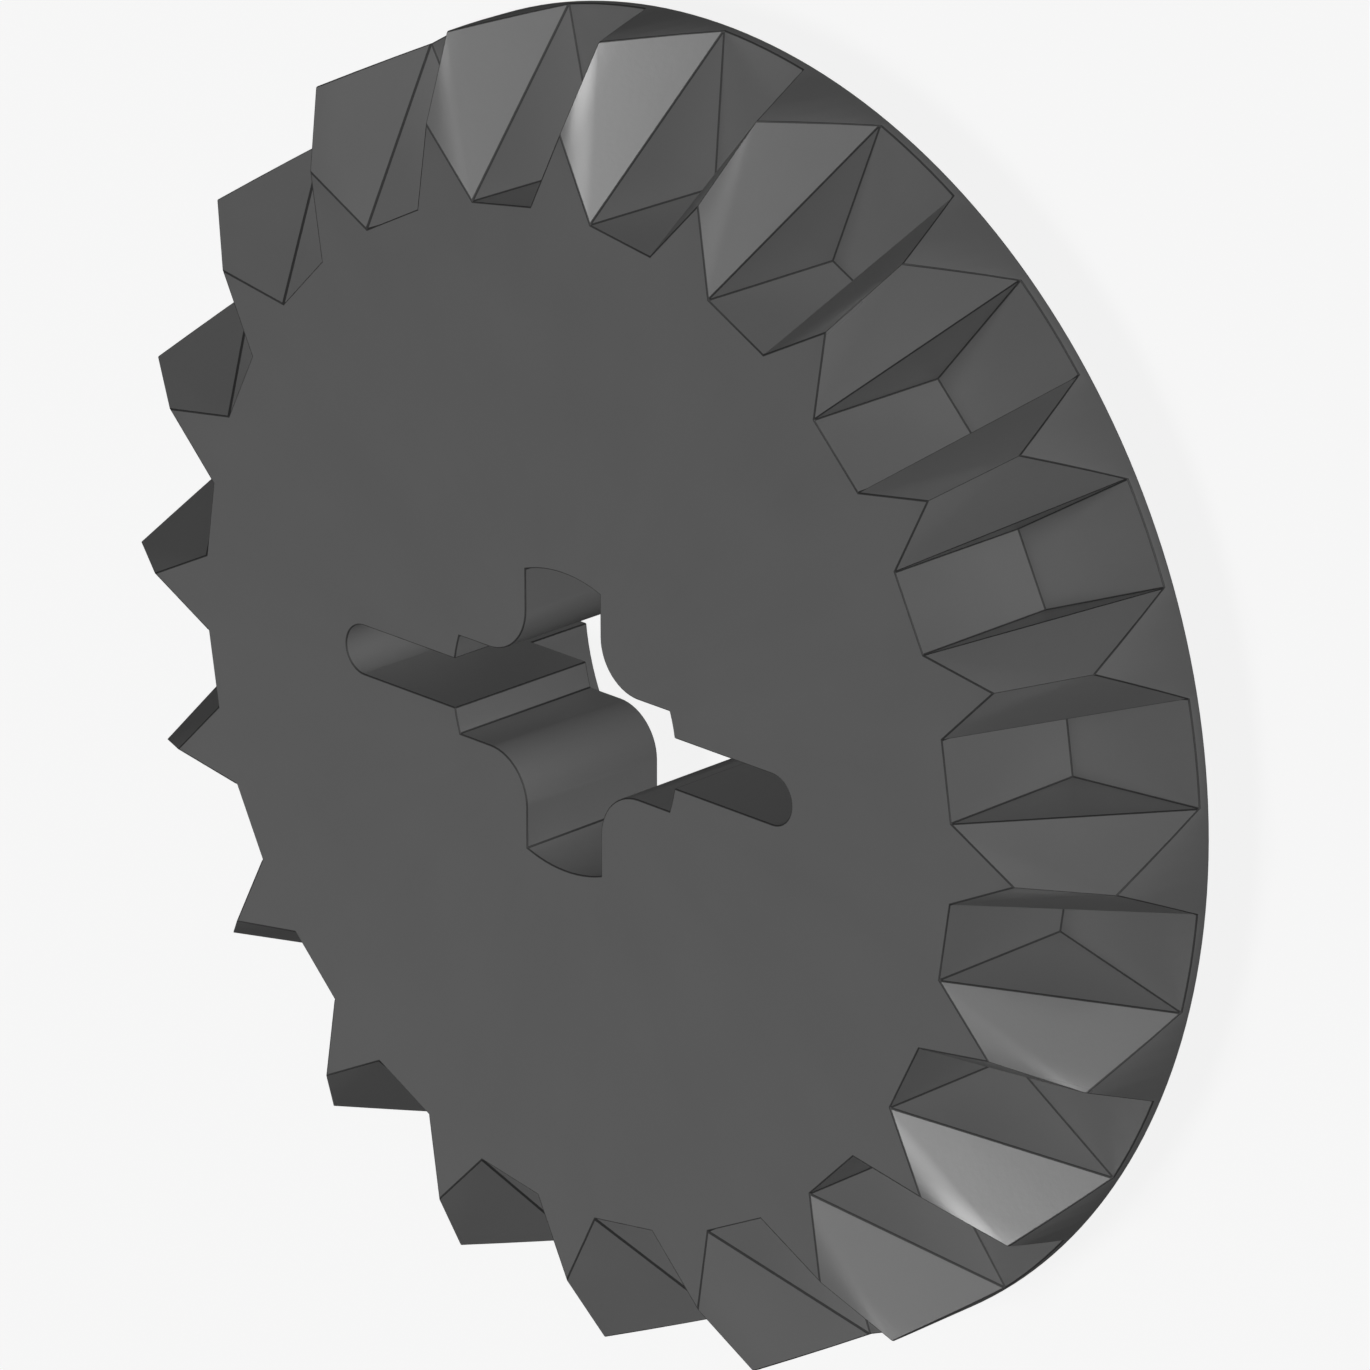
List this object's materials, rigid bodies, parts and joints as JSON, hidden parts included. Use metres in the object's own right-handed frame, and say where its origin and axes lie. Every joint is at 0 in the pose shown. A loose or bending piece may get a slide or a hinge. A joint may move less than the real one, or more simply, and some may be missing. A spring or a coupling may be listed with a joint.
{
  "type": "bevel gear",
  "caption": "Flat moulded plastic bevel gear with ridge-shaped teeth around a thin disc, a cross-shaped shaft hole with a narrow slot across it, and a low round hub on the back.",
  "frame": {"origin": "on the shaft axis, in the plane of the hub's end face, which is the lowest face as the gear lies on its hub", "axes": "+Z along the shaft axis, out of the front face with the teeth; +X along the narrow slot; +Y across it"},
  "size_m": [0.021, 0.021, 0.004],
  "materials": {
    "gear_plastic": "fine satin moulded surface"
  },
  "bodies": {
    "root": {"bevel_gear": "gear_plastic"}
  },
  "joints": []
}
